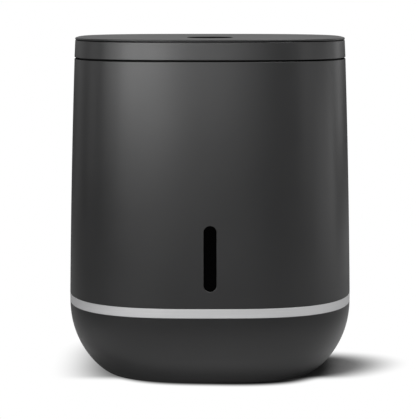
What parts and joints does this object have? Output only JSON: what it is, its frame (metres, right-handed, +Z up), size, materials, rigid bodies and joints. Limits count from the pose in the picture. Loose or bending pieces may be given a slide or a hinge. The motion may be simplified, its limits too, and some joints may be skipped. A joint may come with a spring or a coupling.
{
  "type": "electric food waste composter",
  "caption": "Rounded-square countertop machine that dries and grinds food scraps: hinged lid, heated bucket with a geared stirring rotor, blower and carbon filter.",
  "frame": {"origin": "on the worktop under the middle of the machine, at the centre of the bounding box's underside", "axes": "+Z up, -Y is the front with the light slot, +X to the right as seen from the front"},
  "size_m": [0.29, 0.29, 0.342],
  "materials": {
    "body_paint": "fine matte, dark charcoal",
    "lid_paint": "fine matte, dark charcoal",
    "lid_top_paint": "fine matte, dark charcoal",
    "base_plastic": "matte, darker charcoal",
    "satin_band": "satin, brushed along the band",
    "black_plastic": "matte black",
    "button_plastic": "satin black",
    "smoked_window": "smoked gloss",
    "black_rubber": "matte",
    "inner_plastic": "moulded, fine texture",
    "plated_steel": "zinc plated",
    "sheet_steel": "rolled sheet",
    "dark_steel": "black phosphate",
    "element_steel": "heat tinted",
    "motor_steel": "drawn can",
    "cast_aluminium": "cast, bead blasted",
    "bucket_coating": "non-stick coating with fine flecks",
    "grey_silicone": "matte silicone",
    "felt": "needled felt",
    "white_plastic": "moulded",
    "gearbox_plastic": "glass-filled nylon",
    "gear_plastic": "natural acetal",
    "bronze": "sintered",
    "board_green": "solder mask",
    "board_parts": "moulded",
    "diffuser": "milky",
    "cable_jacket": "sleeved",
    "carbon": "granular"
  },
  "bodies": {
    "body": {"outer_shell": "body_paint", "trim_band": "satin_band", "base_bowl": "base_plastic", "rubber_feet": "black_rubber", "chassis_plate": "sheet_steel", "deck_posts": "plated_steel", "deck_collar": "inner_plastic", "case_screws": "plated_steel", "bucket_seal": "grey_silicone", "chamber_liner": "sheet_steel", "insulation_jacket": "felt", "heater_plate": "cast_aluminium", "heater_element": "element_steel", "thermal_cutouts": "white_plastic", "bucket": "bucket_coating", "breaker_bars": "cast_aluminium", "bucket_bush": "white_plastic", "gearbox_tray": "gearbox_plastic", "gearbox_cover": "gearbox_plastic", "gear_pins": "plated_steel", "output_bushes": "bronze", "drive_motor": "motor_steel", "blower_housing": "inner_plastic", "blower_motor": "motor_steel", "suction_duct": "inner_plastic", "filter_housing": "inner_plastic", "mains_inlet": "black_plastic", "inlet_pins": "plated_steel", "main_board": "board_green", "board_parts": "board_parts", "board_standoffs": "bronze", "slot_window": "smoked_window", "light_guide": "diffuser", "light_board": "board_green", "hinge_bracket": "dark_steel", "hinge_pin": "plated_steel", "reed_switch": "white_plastic", "wiring_harness": "cable_jacket"},
    "rotor": {"drive_rotor": "cast_aluminium", "rotor_cap": "black_plastic", "output_shaft": "plated_steel", "output_gear": "gear_plastic"},
    "middle_gear": {"middle_gear": "gear_plastic"},
    "first_gear": {"first_gear": "gear_plastic"},
    "motor_pinion": {"motor_pinion": "bronze"},
    "blower_wheel": {"blower_wheel": "white_plastic"},
    "filter": {"filter_cassette": "inner_plastic", "carbon_block": "carbon", "filter_cap": "body_paint"},
    "lid": {"lid_top_plate": "lid_top_paint", "lid_shell": "lid_paint", "lid_tray": "inner_plastic", "lid_gasket": "grey_silicone", "grip_cup": "black_plastic", "hinge_leaf": "dark_steel", "lid_magnet": "plated_steel", "lid_screws": "plated_steel", "button_board": "board_green", "button_spring": "plated_steel"},
    "start_button": {"start_button": "button_plastic"}
  },
  "joints": [
    {"name": "lid_hinge", "type": "hinge", "parent": "body", "child": "lid", "pos_m": [0, 0.1398, 0.3216], "axis": [-1, 0, 0], "range_deg": [0, 95]},
    {"name": "start_press", "type": "slide", "parent": "lid", "child": "start_button", "axis": [0, 0, -1], "range_m": [0, 0.0015], "stiffness_N_per_m": 300, "springref_m": -0.0006, "deforming": ["button_spring"]},
    {"name": "filter_slide", "type": "slide", "parent": "body", "child": "filter", "axis": [0, 1, 0], "range_m": [0, 0.07]},
    {"name": "rotor_spin", "type": "hinge", "parent": "body", "child": "rotor", "pos_m": [0, -0.034, 0.15], "axis": [0, 0, 1], "continuous": true},
    {"name": "middle_gear_spin", "type": "hinge", "parent": "body", "child": "middle_gear", "pos_m": [0, 0.011, 0.105], "axis": [0, 0, 1], "continuous": true},
    {"name": "first_gear_spin", "type": "hinge", "parent": "body", "child": "first_gear", "pos_m": [0, 0.042, 0.098], "axis": [0, 0, 1], "continuous": true},
    {"name": "motor_spin", "type": "hinge", "parent": "body", "child": "motor_pinion", "pos_m": [0, 0.0708, 0.095], "axis": [0, 0, 1], "continuous": true},
    {"name": "fan_spin", "type": "hinge", "parent": "body", "child": "blower_wheel", "pos_m": [0, 0.113, 0.1637], "axis": [0, 1, 0], "continuous": true}
  ],
  "couplings": [
    {"joint": "middle_gear_spin", "follows": "rotor_spin", "ratio": -4},
    {"joint": "first_gear_spin", "follows": "rotor_spin", "ratio": 16.667},
    {"joint": "motor_spin", "follows": "rotor_spin", "ratio": -83.333}
  ]
}
